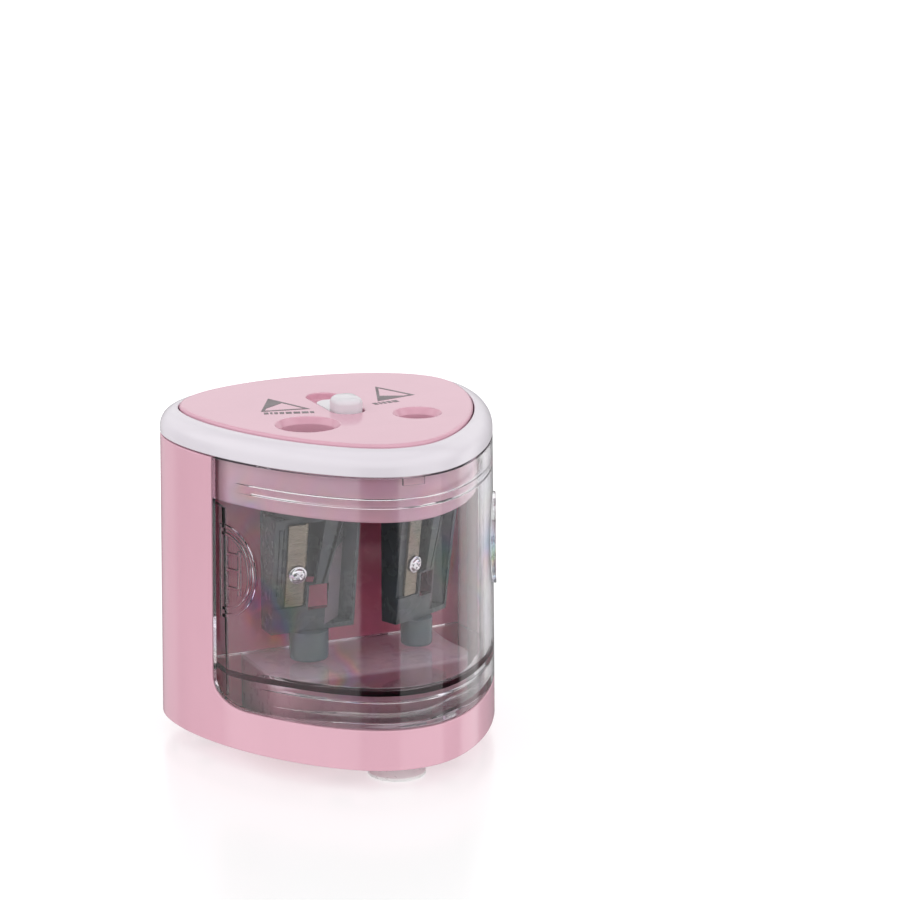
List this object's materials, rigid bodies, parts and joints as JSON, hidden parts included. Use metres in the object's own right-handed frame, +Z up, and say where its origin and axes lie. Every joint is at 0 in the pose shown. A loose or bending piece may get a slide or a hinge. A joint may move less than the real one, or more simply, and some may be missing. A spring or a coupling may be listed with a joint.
{
  "type": "electric pencil sharpener",
  "caption": "Battery pencil sharpener with a rounded-triangle body, see-through pull-out shavings drawer, a large and a small pencil hole, rotating cutter heads and a slide button.",
  "frame": {"origin": "centre of the footprint's bounding box, on the table under the feet", "axes": "+Z up, -Y towards the rounded front corner with the drawer, the large pencil hole on the -X side"},
  "size_m": [0.0778, 0.0811, 0.0816],
  "materials": {
    "pink_plastic": "glossy moulded pastel pink",
    "pink_inner": "satin moulded pink",
    "white_plastic": "glossy cool white",
    "smoke_plastic": "clear smoke-tinted moulding",
    "head_plastic": "satin dark grey moulding",
    "blade_steel": "ground blade steel, warm tint",
    "screw_steel": "bright plated",
    "gear_plastic": "natural acetal",
    "motor_steel": "zinc plated can",
    "brass": "turned",
    "contact_steel": "nickel plated strip",
    "cell_wrap": "printed sleeve, plain",
    "foot_rubber": "translucent soft vinyl",
    "black_plastic": "moulded"
  },
  "bodies": {
    "housing": {"housing_shell": "pink_plastic", "base_tray": "pink_inner", "battery_cell_1": "cell_wrap", "battery_cell_2": "cell_wrap", "battery_cell_3": "cell_wrap", "contact_front_bridge": "contact_steel", "contact_front_single": "contact_steel", "contact_rear_single": "contact_steel", "contact_rear_bridge": "contact_steel", "base_screw_1": "screw_steel", "base_screw_2": "screw_steel", "base_screw_3": "screw_steel", "base_screw_4": "screw_steel", "foot_front": "foot_rubber", "foot_rear_left": "foot_rubber", "foot_rear_right": "foot_rubber", "chamber_wall": "pink_inner", "gear_deck": "pink_inner", "bearing_large": "brass", "bearing_small": "brass", "top_ring": "white_plastic", "top_plate": "pink_plastic", "slide_switch": "black_plastic", "idler_axle": "screw_steel", "motor_can": "motor_steel", "motor_endbell": "gear_plastic", "motor_screw_left": "screw_steel", "motor_screw_right": "screw_steel", "lever_pin_large": "screw_steel", "start_switch_large": "black_plastic", "lever_pin_small": "screw_steel", "start_switch_small": "black_plastic"},
    "drawer": {"shavings_drawer": "smoke_plastic"},
    "cell_door": {"battery_door": "pink_inner"},
    "button": {"slide_button": "white_plastic"},
    "head_large": {"cutter_head_large": "head_plastic", "blade_large": "blade_steel", "blade_screw_large": "screw_steel", "tip_stub_large": "head_plastic", "head_gear_large": "gear_plastic"},
    "head_small": {"cutter_head_small": "head_plastic", "blade_small": "blade_steel", "blade_screw_small": "screw_steel", "tip_stub_small": "head_plastic", "head_gear_small": "gear_plastic"},
    "idler": {"idler_gear": "gear_plastic"},
    "rotor": {"motor_shaft": "screw_steel", "motor_pinion": "brass"},
    "lever_large": {"start_lever_large": "gear_plastic"},
    "lever_small": {"start_lever_small": "gear_plastic"}
  },
  "joints": [
    {"name": "large_head_spin", "type": "hinge", "parent": "housing", "child": "head_large", "pos_m": [-0.0134, -0.01005, 0.06], "axis": [0, 0, 1], "continuous": true},
    {"name": "small_head_spin", "type": "hinge", "parent": "housing", "child": "head_small", "pos_m": [0.0134, -0.01005, 0.06], "axis": [0, 0, 1], "continuous": true},
    {"name": "idler_spin", "type": "hinge", "parent": "housing", "child": "idler", "pos_m": [0, 0.00136, 0.067], "axis": [0, 0, 1], "continuous": true},
    {"name": "motor_spin", "type": "hinge", "parent": "housing", "child": "rotor", "pos_m": [0, 0.01416, 0.069], "axis": [0, 0, 1], "continuous": true},
    {"name": "drawer_slide", "type": "slide", "parent": "housing", "child": "drawer", "axis": [0, -1, 0], "range_m": [0, 0.06]},
    {"name": "button_slide", "type": "slide", "parent": "housing", "child": "button", "axis": [0, 1, 0], "range_m": [0, 0.0048]},
    {"name": "cell_door_hinge", "type": "hinge", "parent": "housing", "child": "cell_door", "pos_m": [0, -0.0176, 0.0045], "axis": [-1, 0, 0], "range_deg": [0, 95]},
    {"name": "large_lever_pivot", "type": "hinge", "parent": "housing", "child": "lever_large", "pos_m": [-0.0225, 0.003, 0.0695], "axis": [0, 0, 1], "range_deg": [-7, 0], "stiffness_Nm_per_rad": 0.004},
    {"name": "small_lever_pivot", "type": "hinge", "parent": "housing", "child": "lever_small", "pos_m": [0.0225, 0.003, 0.0695], "axis": [0, 0, 1], "range_deg": [0, 7], "stiffness_Nm_per_rad": 0.004}
  ],
  "couplings": [
    {"joint": "small_head_spin", "follows": "large_head_spin", "ratio": 1},
    {"joint": "idler_spin", "follows": "large_head_spin", "ratio": -1.75},
    {"joint": "motor_spin", "follows": "large_head_spin", "ratio": 5.25}
  ]
}
